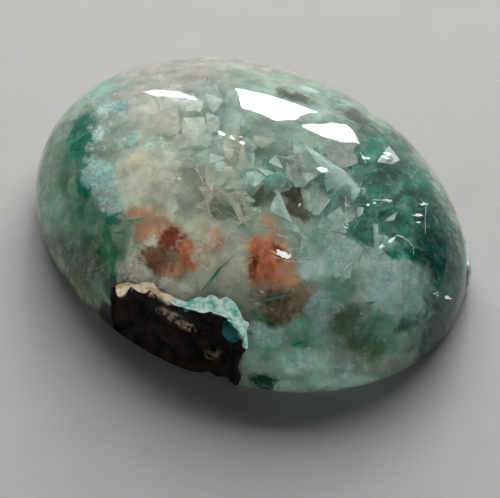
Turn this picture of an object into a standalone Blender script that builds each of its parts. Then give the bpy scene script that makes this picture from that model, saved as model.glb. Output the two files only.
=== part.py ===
"""Polished gem silica: a domed oval stone with a rough natural recess in its front edge.

Metres, +Z up. The stone rests on its flat base at Z = 0, its length lies along X,
and the recess opens towards -Y. The whole stone is one solid.
"""

import math

import bmesh
import bpy
from mathutils import Vector, noise

# Driving dimensions of the polished oval
LENGTH = 0.0343
WIDTH = 0.0265
HEIGHT = 0.0104
GIRDLE_HEIGHT = 0.0015
DOME_POWER = 2.1
BASE_SHARE = 0.95

# How finely the polished faces are divided
SEGMENTS = 96
DOME_RINGS = 21
EDGE_RINGS = 3

# A thin ledge left standing on the girdle, at the stone's right end
LEDGE_ANGLE = math.radians(32)
LEDGE_SPREAD = math.radians(10)
LEDGE_OUT = 0.00028
LEDGE_TOP = 0.0019

# The natural recess: how its wall runs in plan under the rim, left to right, with an end point each way
RECESS_PLAN = (
    (-0.0042, -0.0150),
    (-0.0028, -0.0134),
    (-0.0018, -0.0124),
    (-0.0007, -0.0120),
    (0.0009, -0.0117),
    (0.0025, -0.0117),
    (0.0043, -0.0113),
    (0.0058, -0.0106),
    (0.0075, -0.0102),
    (0.0084, -0.0106),
    (0.0090, -0.0118),
    (0.0096, -0.0140),
)
RECESS_RIM = 0.0056
RECESS_LOW = -0.0010
RECESS_HIGH = 0.0080
RECESS_BACK = -0.0200
RECESS_STEP = 0.00028
# The wall's foot stands out from under its rim, and a groove runs just below the rim
RECESS_LEAN = 0.0007
GROOVE_DEPTH = 0.0004
GROOVE_BELOW = 0.0012
GROOVE_SPREAD = 0.0009
# The wall is swollen into small round lumps on slow waves
LUMP_SPACING = 0.0013
LUMP_SPREAD = 0.75
LUMP_HEIGHT = 0.0004
WAVE_SPACING = 0.0026
WAVE_HEIGHT = 0.0004
PLAN_NUDGE = 0.01

# Botryoidal beads grown on the recess wall: centre and radius, in metres
BEADS = (
    (Vector((0.00688, -0.01028, 0.00428)), 0.00072),
    (Vector((0.00509, -0.01062, 0.00390)), 0.00042),
    (Vector((0.00571, -0.01119, 0.00200)), 0.00045),
    (Vector((0.00667, -0.01107, 0.00170)), 0.00042),
    (Vector((0.00662, -0.01058, 0.00290)), 0.00042),
    (Vector((0.00455, -0.01135, 0.00340)), 0.00040),
)
BEAD_SUBDIVISIONS = 3

STONE_COLOUR = (0.22, 0.40, 0.31, 1.0)
STONE_ROUGHNESS = 0.08


def clear_scene():
    for obj in list(bpy.data.objects):
        bpy.data.objects.remove(obj)


def dome_profile():
    """(share of the outline, height) of each ring, from the base's edge up towards the top."""
    rings = []
    for step in range(EDGE_RINGS):
        turn = math.pi / 2 * step / EDGE_RINGS
        share = BASE_SHARE + (1 - BASE_SHARE) * math.sin(turn)
        rings.append((share, GIRDLE_HEIGHT * (1 - math.cos(turn))))
    for step in range(DOME_RINGS):
        turn = math.pi / 2 * step / DOME_RINGS
        share = math.cos(turn) ** (2 / DOME_POWER)
        rise = math.sin(turn) ** (2 / DOME_POWER)
        rings.append((share, GIRDLE_HEIGHT + (HEIGHT - GIRDLE_HEIGHT) * rise))
    return rings


def ledge_at(angle, height):
    """How far the ledge stands out of the oval, which is nothing above its top."""
    if height > LEDGE_TOP:
        return 0.0
    away = (angle - LEDGE_ANGLE) / LEDGE_SPREAD
    return LEDGE_OUT * math.exp(-(away**4))


def oval_point(angle, share, height):
    across = Vector((LENGTH / 2 * math.cos(angle), WIDTH / 2 * math.sin(angle), 0))
    outward = across.normalized() * ledge_at(angle, height)
    return across * share + outward + Vector((0, 0, height))


def make_object(name, bm):
    bmesh.ops.recalc_face_normals(bm, faces=bm.faces)
    mesh = bpy.data.meshes.new(name)
    bm.to_mesh(mesh)
    bm.free()
    obj = bpy.data.objects.new(name, mesh)
    bpy.context.scene.collection.objects.link(obj)
    return obj


def make_dome():
    """The polished stone before the recess: a flat base, a rounded lower edge and the dome."""
    bm = bmesh.new()
    angles = [math.tau * i / SEGMENTS for i in range(SEGMENTS)]
    rings = [
        [bm.verts.new(oval_point(angle, share, height)) for angle in angles]
        for share, height in dome_profile()
    ]
    top = bm.verts.new((0, 0, HEIGHT))
    for lower, upper in zip(rings, rings[1:]):
        for i in range(SEGMENTS):
            j = (i + 1) % SEGMENTS
            bm.faces.new((lower[i], lower[j], upper[j], upper[i]))
    for i in range(SEGMENTS):
        bm.faces.new((rings[-1][i], rings[-1][(i + 1) % SEGMENTS], top))
    bm.faces.new(rings[0][::-1])
    return make_object("gem_silica_stone", bm)


def recess_swelling(point):
    """How far the recess wall swells outwards: rounded lumps riding on slow waves."""
    nearest = noise.voronoi(point / LUMP_SPACING)[0][0]
    lump = math.sqrt(max(0.0, 1 - (nearest / LUMP_SPREAD) ** 2))
    return LUMP_HEIGHT * lump + WAVE_HEIGHT * noise.noise(point / WAVE_SPACING)


def recess_plan(share):
    """The point at a share of the plan curve, which runs smoothly through RECESS_PLAN."""
    place = share * (len(RECESS_PLAN) - 3)
    index = min(int(place), len(RECESS_PLAN) - 4)
    turn = place - index
    a, b, c, d = (Vector(point) for point in RECESS_PLAN[index : index + 4])
    straight = (c - a) * turn
    square = (2 * a - 5 * b + 4 * c - d) * turn**2
    cube = (3 * b - a - 3 * c + d) * turn**3
    return b + (straight + square + cube) / 2


def recess_point(share, height):
    """A point of the recess wall, at a share of its plan curve and at a height."""
    plan = recess_plan(share)
    along = recess_plan(min(1, share + PLAN_NUDGE)) - recess_plan(max(0, share - PLAN_NUDGE))
    outward = Vector((along.y, -along.x, 0)).normalized()
    below = RECESS_RIM - height
    lean = RECESS_LEAN * below / RECESS_RIM
    groove = GROOVE_DEPTH * math.exp(-(((below - GROOVE_BELOW) / GROOVE_SPREAD) ** 2))
    point = Vector((plan.x, plan.y, height)) + outward * (lean - groove)
    return point + outward * recess_swelling(point)


def make_recess_cutter():
    """A thick slab in front of the stone, whose near face is the recess wall."""
    run = RECESS_PLAN[-2][0] - RECESS_PLAN[1][0]
    columns = round(run / RECESS_STEP)
    rows = round((RECESS_HIGH - RECESS_LOW) / RECESS_STEP)
    bm = bmesh.new()
    near, far = [], []
    for i in range(columns + 1):
        wall = [
            recess_point(i / columns, RECESS_LOW + (RECESS_HIGH - RECESS_LOW) * j / rows)
            for j in range(rows + 1)
        ]
        near.append([bm.verts.new(point) for point in wall])
        far.append([bm.verts.new((point.x, RECESS_BACK, point.z)) for point in wall])
    for sheet in (near, far):
        for left, right in zip(sheet, sheet[1:]):
            for j in range(rows):
                bm.faces.new((left[j], right[j], right[j + 1], left[j + 1]))
    for i in range(columns):
        for j in (0, rows):
            bm.faces.new((near[i][j], near[i + 1][j], far[i + 1][j], far[i][j]))
    for i in (0, columns):
        for j in range(rows):
            bm.faces.new((near[i][j], near[i][j + 1], far[i][j + 1], far[i][j]))
    cutter = make_object("recess_cutter", bm)
    hide_helper(cutter)
    return cutter


def make_beads():
    """The beads as helpers, which a union joins to the stone."""
    beads = []
    for number, (centre, radius) in enumerate(BEADS, start=1):
        bm = bmesh.new()
        bmesh.ops.create_icosphere(bm, subdivisions=BEAD_SUBDIVISIONS, radius=radius)
        bmesh.ops.translate(bm, verts=bm.verts, vec=centre)
        bead = make_object(f"bead_{number}", bm)
        hide_helper(bead)
        beads.append(bead)
    return beads


def hide_helper(obj):
    obj.hide_render = True
    obj.display_type = "WIRE"


def add_boolean(stone, helper, operation):
    boolean = stone.modifiers.new(f"{operation.lower()} {helper.name}", "BOOLEAN")
    boolean.object = helper
    boolean.operation = operation
    boolean.solver = "EXACT"


def stone_material():
    material = bpy.data.materials.new("gem silica")
    material.use_nodes = True
    shader = material.node_tree.nodes["Principled BSDF"]
    shader.inputs["Base Color"].default_value = STONE_COLOUR
    shader.inputs["Roughness"].default_value = STONE_ROUGHNESS
    shader.inputs["Metallic"].default_value = 0.0
    return material


def main():
    clear_scene()
    stone = make_dome()
    stone.data.materials.append(stone_material())
    stone.data.shade_smooth()
    stone.data.set_sharp_from_angle(angle=math.radians(40))
    add_boolean(stone, make_recess_cutter(), "DIFFERENCE")
    for bead in make_beads():
        add_boolean(stone, bead, "UNION")


main()
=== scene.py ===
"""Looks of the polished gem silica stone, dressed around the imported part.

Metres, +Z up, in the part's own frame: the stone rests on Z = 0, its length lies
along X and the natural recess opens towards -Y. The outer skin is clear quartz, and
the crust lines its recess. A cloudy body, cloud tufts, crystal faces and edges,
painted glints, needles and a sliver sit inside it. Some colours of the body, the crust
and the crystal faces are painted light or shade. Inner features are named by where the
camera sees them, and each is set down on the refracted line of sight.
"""

import math
import random

import bmesh
import bpy
import numpy as np
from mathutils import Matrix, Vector, kdtree, noise
from mathutils.bvhtree import BVHTree


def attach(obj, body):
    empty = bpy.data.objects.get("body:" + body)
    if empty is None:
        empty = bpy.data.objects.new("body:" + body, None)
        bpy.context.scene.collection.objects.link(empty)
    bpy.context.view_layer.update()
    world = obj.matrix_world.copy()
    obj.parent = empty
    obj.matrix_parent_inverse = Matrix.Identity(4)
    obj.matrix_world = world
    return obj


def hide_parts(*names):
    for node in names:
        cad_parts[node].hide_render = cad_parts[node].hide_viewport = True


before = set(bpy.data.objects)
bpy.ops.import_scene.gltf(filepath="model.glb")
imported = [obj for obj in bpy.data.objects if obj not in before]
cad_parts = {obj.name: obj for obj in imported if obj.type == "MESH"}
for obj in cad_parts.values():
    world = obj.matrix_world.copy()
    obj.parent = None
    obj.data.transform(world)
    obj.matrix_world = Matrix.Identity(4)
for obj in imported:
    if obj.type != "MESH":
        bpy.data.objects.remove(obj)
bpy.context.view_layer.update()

NODE = "gem_silica_stone"
SLOT = "gem_silica"
MM = 0.001
TAU = math.tau

# The polished oval, as in the part's source
LENGTH = 0.0343
WIDTH = 0.0265
HEIGHT = 0.0104
GIRDLE_HEIGHT = 0.0015
DOME_POWER = 2.1
BASE_SHARE = 0.95
LEDGE_ANGLE = math.radians(32)
LEDGE_SPREAD = math.radians(10)
LEDGE_OUT = 0.00028
LEDGE_TOP = 0.0019
SEGMENTS = 256
DOME_RINGS = 60
EDGE_RINGS = 8

# The recess, as in the part's source
RECESS_PLAN = (
    (-0.0042, -0.0150),
    (-0.0028, -0.0134),
    (-0.0018, -0.0124),
    (-0.0007, -0.0120),
    (0.0009, -0.0117),
    (0.0025, -0.0117),
    (0.0043, -0.0113),
    (0.0058, -0.0106),
    (0.0075, -0.0102),
    (0.0084, -0.0106),
    (0.0090, -0.0118),
    (0.0096, -0.0140),
)
RECESS_RIM = 0.0056
RECESS_LOW = -0.0010
RECESS_HIGH = 0.0085
RECESS_BACK = -0.0200
RECESS_STEP = 0.00010
RECESS_LEAN = 0.0007
GROOVE_DEPTH = 0.0004
GROOVE_BELOW = 0.0012
GROOVE_SPREAD = 0.0009
LUMP_SPACING = 0.0013
LUMP_SPREAD = 0.75
LUMP_HEIGHT = 0.0004
WAVE_SPACING = 0.0026
WAVE_HEIGHT = 0.0004
PLAN_NUDGE = 0.01
BEADS = (
    (Vector((0.00688, -0.01028, 0.00428)), 0.00072),
    (Vector((0.00509, -0.01062, 0.00390)), 0.00042),
    (Vector((0.00571, -0.01119, 0.00200)), 0.00045),
    (Vector((0.00667, -0.01107, 0.00170)), 0.00042),
    (Vector((0.00662, -0.01058, 0.00290)), 0.00042),
    (Vector((0.00455, -0.01135, 0.00340)), 0.00040),
)

# The camera, fitted to the photograph's outline of the stone
IMAGE_SIZE = (500, 498)
AZIMUTH = math.radians(39)
ELEVATION = math.radians(48)
DISTANCE = 0.180
FOCAL_PIXELS = 2448.0
ORIGIN_PIXEL = (248.5, 239.2)
SENSOR_WIDTH_MM = 36.0

QUARTZ_IOR = 1.54


def view_axes():
    """The directions from the stone to the camera, to the picture's right and up."""
    flat = math.cos(ELEVATION)
    back = np.array([math.sin(AZIMUTH) * flat, -math.cos(AZIMUTH) * flat, math.sin(ELEVATION)])
    right = np.array([math.cos(AZIMUTH), math.sin(AZIMUTH), 0.0])
    return back, right, np.cross(back, right)


BACK, RIGHT, UP = view_axes()
EYE = BACK * DISTANCE


def pixel_rays(pixels):
    """Unit directions from the camera through pixels of the picture."""
    offset = (np.asarray(pixels, float) - ORIGIN_PIXEL) / FOCAL_PIXELS
    rays = -BACK + offset[:, :1] * RIGHT - offset[:, 1:] * UP
    return rays / np.linalg.norm(rays, axis=1, keepdims=True)


def seen_pixels(points):
    """Where the camera would see points if nothing bent the light."""
    depth = DISTANCE - points @ BACK
    across = points @ RIGHT / depth
    along = points @ UP / depth
    return np.stack([across, -along], axis=1) * FOCAL_PIXELS + ORIGIN_PIXEL


def smooth(low, high, value):
    share = np.clip((value - low) / (high - low), 0, 1)
    return share * share * (3 - 2 * share)


def srgb(red, green, blue):
    """A colour given in 0 to 255 screen values, as linear light."""
    values = np.array([red, green, blue]) / 255
    linear = np.where(values <= 0.04045, values / 12.92, ((values + 0.055) / 1.055) ** 2.4)
    return (*linear.tolist(), 1.0)


TRAPPED = 0.58


def under_glass(red, green, blue):
    """The inner colour that shows as the given screen colour through the quartz, which traps light."""
    seen = srgb(red, green, blue)[:3]
    return (*(value / (1 - TRAPPED + TRAPPED * value) for value in seen), 1.0)


def make_object(name, bm_or_mesh):
    """Links a new object made of a mesh or of a bmesh, which it frees."""
    mesh = bm_or_mesh
    if isinstance(bm_or_mesh, bmesh.types.BMesh):
        mesh = bpy.data.meshes.new(name)
        bm_or_mesh.to_mesh(mesh)
        bm_or_mesh.free()
    obj = bpy.data.objects.new(name, mesh)
    bpy.context.scene.collection.objects.link(obj)
    return obj


def mesh_from(name, points, faces):
    mesh = bpy.data.meshes.new(name)
    mesh.from_pydata([tuple(point) for point in points], [], faces)
    mesh.update()
    return make_object(name, mesh)


# The polished dome

def dome_profile():
    rings = []
    for step in range(EDGE_RINGS):
        turn = math.pi / 2 * step / EDGE_RINGS
        share = BASE_SHARE + (1 - BASE_SHARE) * math.sin(turn)
        rings.append((share, GIRDLE_HEIGHT * (1 - math.cos(turn))))
    for step in range(DOME_RINGS):
        turn = math.pi / 2 * step / DOME_RINGS
        share = math.cos(turn) ** (2 / DOME_POWER)
        rise = math.sin(turn) ** (2 / DOME_POWER)
        rings.append((share, GIRDLE_HEIGHT + (HEIGHT - GIRDLE_HEIGHT) * rise))
    return rings


def ledge_at(angle, height):
    if height > LEDGE_TOP:
        return 0.0
    away = (angle - LEDGE_ANGLE) / LEDGE_SPREAD
    return LEDGE_OUT * math.exp(-(away**4))


def oval_point(angle, share, height):
    across = Vector((LENGTH / 2 * math.cos(angle), WIDTH / 2 * math.sin(angle), 0))
    outward = across.normalized() * ledge_at(angle, height)
    return across * share + outward + Vector((0, 0, height))


def make_dome(name, proud=0.0):
    """The polished oval, closed by its flat base; proud moves its skin outwards."""
    bm = bmesh.new()
    angles = [TAU * i / SEGMENTS for i in range(SEGMENTS)]
    grow = 1 + proud / (WIDTH / 2)
    rings = [
        [bm.verts.new(oval_point(angle, share * grow, height * grow)) for angle in angles]
        for share, height in dome_profile()
    ]
    top = bm.verts.new((0, 0, HEIGHT * grow))
    for lower, upper in zip(rings, rings[1:]):
        for i in range(SEGMENTS):
            j = (i + 1) % SEGMENTS
            bm.faces.new((lower[i], lower[j], upper[j], upper[i]))
    for i in range(SEGMENTS):
        bm.faces.new((rings[-1][i], rings[-1][(i + 1) % SEGMENTS], top))
    bm.faces.new(rings[0][::-1])
    bmesh.ops.recalc_face_normals(bm, faces=bm.faces)
    return make_object(name, bm)


def dome_normals(points):
    """Outward normals of the polished dome at points of it."""
    half = np.array([LENGTH / 2, WIDTH / 2])
    flat = points[:, :2] / half
    radius = np.maximum(np.linalg.norm(flat, axis=1), 1e-6)
    slope = radius ** (DOME_POWER - 2)
    rise = np.maximum(points[:, 2] - GIRDLE_HEIGHT, 0) / (HEIGHT - GIRDLE_HEIGHT)
    normals = np.column_stack([
        flat[:, 0] * slope / half[0],
        flat[:, 1] * slope / half[1],
        rise ** (DOME_POWER - 1) / (HEIGHT - GIRDLE_HEIGHT),
    ])
    return normals / np.maximum(np.linalg.norm(normals, axis=1, keepdims=True), 1e-9)


def refract(rays, normals, ratio):
    """Rays bent as they enter a medium through a surface whose normals face them."""
    cosine = -(rays * normals).sum(axis=1)
    root = np.sqrt(np.maximum(0, 1 - ratio**2 * (1 - cosine**2)))
    return ratio * rays + (ratio * cosine - root)[:, None] * normals


# The recess

def recess_swelling(point):
    nearest = noise.voronoi(point / LUMP_SPACING)[0][0]
    lump = math.sqrt(max(0.0, 1 - (nearest / LUMP_SPREAD) ** 2))
    return LUMP_HEIGHT * lump + WAVE_HEIGHT * noise.noise(point / WAVE_SPACING)


def recess_plan(share):
    place = share * (len(RECESS_PLAN) - 3)
    index = min(int(place), len(RECESS_PLAN) - 4)
    turn = place - index
    a, b, c, d = (Vector(point) for point in RECESS_PLAN[index : index + 4])
    straight = (c - a) * turn
    square = (2 * a - 5 * b + 4 * c - d) * turn**2
    cube = (3 * b - a - 3 * c + d) * turn**3
    return b + (straight + square + cube) / 2


def recess_point(share, height, outset):
    """A point of the recess wall, moved into the stone by outset."""
    plan = recess_plan(share)
    along = recess_plan(min(1, share + PLAN_NUDGE)) - recess_plan(max(0, share - PLAN_NUDGE))
    outward = Vector((along.y, -along.x, 0)).normalized()
    below = RECESS_RIM - height
    lean = RECESS_LEAN * below / RECESS_RIM
    groove = GROOVE_DEPTH * math.exp(-(((below - GROOVE_BELOW) / GROOVE_SPREAD) ** 2))
    point = Vector((plan.x, plan.y, height)) + outward * (lean - groove)
    return point + outward * (recess_swelling(point) - outset(point))


def slab_faces(columns, rows):
    """The faces of a closed slab, whose points run column by column, each near side first."""
    def near(i, j):
        return 2 * (rows + 1) * i + j

    def far(i, j):
        return near(i, j) + rows + 1

    faces = []
    for side in (near, far):
        for i in range(columns):
            faces += [(side(i, j), side(i + 1, j), side(i + 1, j + 1), side(i, j + 1)) for j in range(rows)]
    for i in range(columns):
        faces += [(near(i, j), near(i + 1, j), far(i + 1, j), far(i, j)) for j in (0, rows)]
    for i in (0, columns):
        faces += [(near(i, j), near(i, j + 1), far(i, j + 1), far(i, j)) for j in range(rows)]
    return faces


def make_cutter(name, outset):
    """A slab in front of the stone whose near side is the recess wall."""
    columns = round((RECESS_PLAN[-2][0] - RECESS_PLAN[1][0]) / RECESS_STEP)
    rows = round((RECESS_HIGH - RECESS_LOW) / RECESS_STEP)
    heights = [RECESS_LOW + (RECESS_HIGH - RECESS_LOW) * j / rows for j in range(rows + 1)]
    bm = bmesh.new()
    verts = []
    for i in range(columns + 1):
        wall = [recess_point(i / columns, height, outset) for height in heights]
        verts += [bm.verts.new(point) for point in wall]
        verts += [bm.verts.new((point.x, RECESS_BACK, point.z)) for point in wall]
    for face in slab_faces(columns, rows):
        bm.faces.new([verts[index] for index in face])
    bmesh.ops.recalc_face_normals(bm, faces=bm.faces)
    return make_object(name, bm)


def combine(name, base, steps):
    """A new object: base after exact Booleans with helpers, which are all removed."""
    for operation, helper in steps:
        boolean = base.modifiers.new(operation.lower(), "BOOLEAN")
        boolean.object = helper
        boolean.operation = operation
        boolean.solver = "EXACT"
    graph = bpy.context.evaluated_depsgraph_get()
    graph.update()
    mesh = bpy.data.meshes.new_from_object(base.evaluated_get(graph))
    for helper in [base] + [helper for _, helper in steps]:
        bpy.data.objects.remove(helper)
    mesh.name = name
    return make_object(name, mesh)


# Crust thickness: thin and cream at the left, wide and aqua above the bead, thin again at the right end
CRUST_END = 0.08 * MM
CRUST_LEFT = 0.30 * MM
CRUST_MIDDLE = 0.58 * MM
CRUST_RIGHT = 0.22 * MM
CRUST_STARTS = (-1.4 * MM, 0.2 * MM)
CRUST_WIDENS = (2.0 * MM, 4.5 * MM)
CRUST_NARROWS = (6.8 * MM, 8.2 * MM)
CRUST_UNEVEN = 0.5
CRUST_SPACING = 0.8 * MM
CRUST_OVERLAP = 0.03 * MM
CRUST_PROUD = 0.008 * MM
CORE_OVERLAP = 0.15 * MM


def crust_thickness(point):
    widening = float(smooth(*CRUST_WIDENS, point.x))
    narrowing = float(smooth(*CRUST_NARROWS, point.x))
    thickness = CRUST_END + (CRUST_LEFT - CRUST_END) * float(smooth(*CRUST_STARTS, point.x))
    thickness += (CRUST_MIDDLE - CRUST_LEFT) * widening
    thickness += (CRUST_RIGHT - thickness) * narrowing
    return thickness * (1 + CRUST_UNEVEN * noise.noise(point / CRUST_SPACING))


# The cloudy body inside the quartz

BODY_CENTRE = Vector((0, 0, 0.003))
BODY_SUBDIVISIONS = 6
# Clear windows of quartz over the body: pixel centre, half sizes, turn in degrees, extra depth in mm
WINDOWS = (
    ((180, 118), (62, 46), -12, 2.2),
    ((262, 170), (80, 58), 8, 1.9),
    ((330, 190), (60, 55), 20, 1.5),
    ((180, 200), (60, 50), 20, 1.2),
    ((400, 205), (45, 50), 50, 1.2),
    ((72, 220), (30, 70), -20, 1.3),
)
# A window is fully deep within the first share of its half sizes, and gone at the second
WINDOW_REACH = (0.2, 1.35)
SKIN = 0.35 * MM
SKIN_SPARE = 0.15 * MM
HIDDEN_DEPTH = 0.9 * MM
HIDDEN_WAVES = (-0.2, 0.5)
# The body's waves: spacing and offset of each noise, slow ones first, and the heights of the last two
BODY_NOISES = ((5.0 * MM, 3.0), (1.6 * MM, 7.0), (0.6 * MM, 11.0))
LUMP_HEIGHTS = (0.28 * MM, 0.12 * MM)
DEEPEST_SHARE = 0.8
# The dome's slant to the camera, from unseen to well seen
FACING = (-0.05, 0.15)


def ellipse(pixels, centre, sizes, turn):
    """Distance from a feature's centre, as a share of its own half sizes."""
    angle = math.radians(turn)
    shift = pixels - np.array(centre, float)
    along = shift[:, 0] * math.cos(angle) + shift[:, 1] * math.sin(angle)
    across = shift[:, 1] * math.cos(angle) - shift[:, 0] * math.sin(angle)
    return np.hypot(along / sizes[0], across / sizes[1])


def facing(points):
    """1 where the dome faces the camera, falling to 0 where it turns away."""
    return smooth(*FACING, dome_normals(points) @ BACK)


def body_depth(points, noises):
    """How deep below the dome the cloudy body lies."""
    pixels = seen_pixels(points)
    window = np.zeros(len(points))
    for centre, sizes, turn, extra in WINDOWS:
        distance = ellipse(pixels, centre, sizes, turn)
        window = np.maximum(window, extra * MM * (1 - smooth(*WINDOW_REACH, distance)))
    front = facing(points)
    hidden = HIDDEN_DEPTH * smooth(*HIDDEN_WAVES, noises[0])
    lumps = LUMP_HEIGHTS[0] * noises[1] + LUMP_HEIGHTS[1] * noises[2]
    return SKIN + np.maximum(0, front * window + (1 - front) * hidden + lumps + SKIN_SPARE)


def sample_noise(points, spacing, offset):
    shift = Vector((offset, offset, offset))
    return np.array([noise.noise(Vector(point) / spacing + shift) for point in points])


def make_body(dome_tree):
    bm = bmesh.new()
    bmesh.ops.create_icosphere(bm, subdivisions=BODY_SUBDIVISIONS, radius=1)
    directions = [vert.co.normalized() for vert in bm.verts]
    hits = [dome_tree.ray_cast(BODY_CENTRE, direction)[0] for direction in directions]
    skin = np.array([tuple(hit) for hit in hits])
    depth = body_depth(skin, [sample_noise(skin, spacing, offset) for spacing, offset in BODY_NOISES])
    arms = skin - np.array(BODY_CENTRE)
    lengths = np.linalg.norm(arms, axis=1, keepdims=True)
    points = skin - arms / lengths * np.minimum(depth[:, None], lengths * DEEPEST_SHARE)
    for vert, point in zip(bm.verts, points):
        vert.co = point
    bmesh.ops.recalc_face_normals(bm, faces=bm.faces)
    return make_object("cloudy_body_whole", bm)


# What the camera sees of a surface inside the quartz

# The part of the picture that the stone fills, and the step between sight lines, in pixels
SIGHT_STEP = 3
SIGHT_ROWS = range(45, 405, SIGHT_STEP)
SIGHT_COLUMNS = range(25, 480, SIGHT_STEP)
SIGHT_NEIGHBOURS = 3
SIGHT_BLUR = 0.02 * MM
# How far from a sight line's end a point is still sure of its pixel
SURE_WITHIN = (0.5 * MM, 1.4 * MM)
STEEPEST_SLANT = 0.3
ROOM_BEYOND = 1.0 * MM
PULL_STEP = 0.02


class Sight:
    """Lines of sight bent at the dome: pixel to point inside, and point to pixel."""

    def __init__(self, dome_tree, inner_tree):
        self.dome_tree = dome_tree
        self.inner_tree = inner_tree
        pixels = [(x, y) for y in SIGHT_ROWS for x in SIGHT_COLUMNS]
        starts, rays, kept = self.enter(pixels)
        self.points = []
        self.pixels = []
        for start, ray, pixel in zip(starts, rays, kept):
            hit = inner_tree.ray_cast(Vector(start), Vector(ray))[0]
            if hit is not None:
                self.points.append(tuple(hit))
                self.pixels.append(pixel)
        self.points = np.array(self.points)
        self.pixels = np.array(self.pixels, float)
        self.finder = kdtree.KDTree(len(self.points))
        for index, point in enumerate(self.points):
            self.finder.insert(point, index)
        self.finder.balance()

    def enter(self, pixels):
        """Where sight lines meet the dome, and their directions inside the quartz."""
        rays = pixel_rays(pixels)
        eye = Vector(EYE)
        starts, kept, kept_rays = [], [], []
        for pixel, ray in zip(pixels, rays):
            hit = self.dome_tree.ray_cast(eye, Vector(ray))[0]
            if hit is not None:
                starts.append(tuple(hit))
                kept.append(pixel)
                kept_rays.append(ray)
        starts = np.array(starts).reshape(-1, 3)
        kept_rays = np.array(kept_rays).reshape(-1, 3)
        inside = refract(kept_rays, dome_normals(starts), 1 / QUARTZ_IOR)
        return starts, inside, kept

    def place(self, pixel, depth):
        """The point seen at a pixel, at a depth in metres below the dome, and the dome's normal there."""
        start, ray, normal, slant = self.enter_one(pixel)
        return start + ray * depth / slant, normal

    def enter_one(self, pixel):
        """Like enter, for one pixel, which is pulled onto the stone if it misses."""
        pixel = np.array(pixel, float)
        starts, rays, _ = self.enter([pixel])
        while not len(starts):
            pixel += (np.array(ORIGIN_PIXEL) - pixel) * PULL_STEP
            starts, rays, _ = self.enter([pixel])
        normal = dome_normals(starts)[0]
        return starts[0], rays[0], normal, max(STEEPEST_SLANT, -float(rays[0] @ normal))

    def depth_room(self, pixel):
        """How far below the dome the cloudy body starts at a pixel."""
        start, ray, _, slant = self.enter_one(pixel)
        hit = self.inner_tree.ray_cast(Vector(start), Vector(ray))[0]
        if hit is None:
            return ROOM_BEYOND
        return float(np.linalg.norm(np.array(hit) - start)) * slant

    def apparent(self, points):
        """Pixels at which points near the cloudy body are seen, and 1 to 0 for how surely."""
        pixels = np.zeros((len(points), 2))
        sure = np.zeros(len(points))
        for index, point in enumerate(points):
            found = self.finder.find_n(Vector(point), SIGHT_NEIGHBOURS)
            weights = np.array([1 / (item[2] + SIGHT_BLUR) for item in found])
            chosen = np.array([self.pixels[item[1]] for item in found])
            pixels[index] = (chosen * weights[:, None]).sum(axis=0) / weights.sum()
            sure[index] = found[0][2]
        return pixels, 1 - smooth(*SURE_WITHIN, sure)


# Small closed shapes gathered into one mesh

# A puff's rings: share of its radius, and share of its cover
PUFF_RINGS = ((0.35, 0.9), (0.65, 0.55), (1.0, 0.0))
PUFF_SIDES = 12
PUFF_REACH = (0.7, 1.3)
PUFF_SAG = 0.4
CLOUD_SEED = 11
rng = random.Random(CLOUD_SEED)


def frame_of(direction):
    """A direction as a unit vector, and two more square to it."""
    axis = Vector(direction).normalized()
    side = axis.orthogonal().normalized()
    return np.array(axis), np.array(side), np.array(axis.cross(side))


def flattened(corners):
    """Corners moved onto the plane that fits them best, and its normal."""
    corners = np.array(corners)
    middle = corners.mean(axis=0)
    normal = np.linalg.svd(corners - middle)[2][2]
    return corners - ((corners - middle) @ normal)[:, None] * normal, normal


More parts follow.
